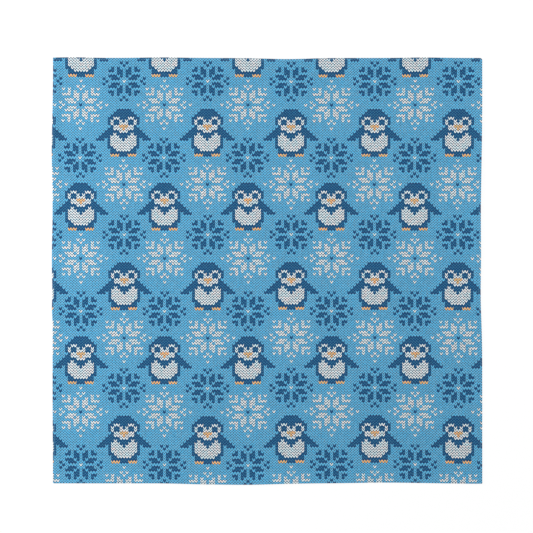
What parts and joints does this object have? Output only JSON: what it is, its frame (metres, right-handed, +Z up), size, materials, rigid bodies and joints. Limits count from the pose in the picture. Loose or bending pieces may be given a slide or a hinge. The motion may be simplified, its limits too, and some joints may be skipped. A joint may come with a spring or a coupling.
{
  "type": "cloth napkin",
  "caption": "Square hemmed table napkin lying flat, printed with a knit-look pattern of penguins and snowflakes.",
  "frame": {"origin": "middle of the underside, on the surface the napkin lies on", "axes": "+Z up out of the printed face, +X to the right and +Y to the top of the print as it is read"},
  "size_m": [0.508, 0.504, 0.0015],
  "materials": {
    "printed_cloth": "matt plain-weave cloth, printed on the face in light blue, navy, white and pale orange",
    "needle_thread": "spun polyester sewing thread, light blue, slight sheen",
    "bobbin_thread": "spun polyester sewing thread, off-white, slight sheen"
  },
  "bodies": {
    "root": {"cloth_panel": "printed_cloth", "hem_left": "printed_cloth", "hem_right": "printed_cloth", "hem_top": "printed_cloth", "hem_bottom": "printed_cloth", "needle_thread_left": "needle_thread", "needle_thread_right": "needle_thread", "needle_thread_top": "needle_thread", "needle_thread_bottom": "needle_thread", "bobbin_thread_left": "bobbin_thread", "bobbin_thread_right": "bobbin_thread", "bobbin_thread_top": "bobbin_thread", "bobbin_thread_bottom": "bobbin_thread"}
  },
  "joints": []
}
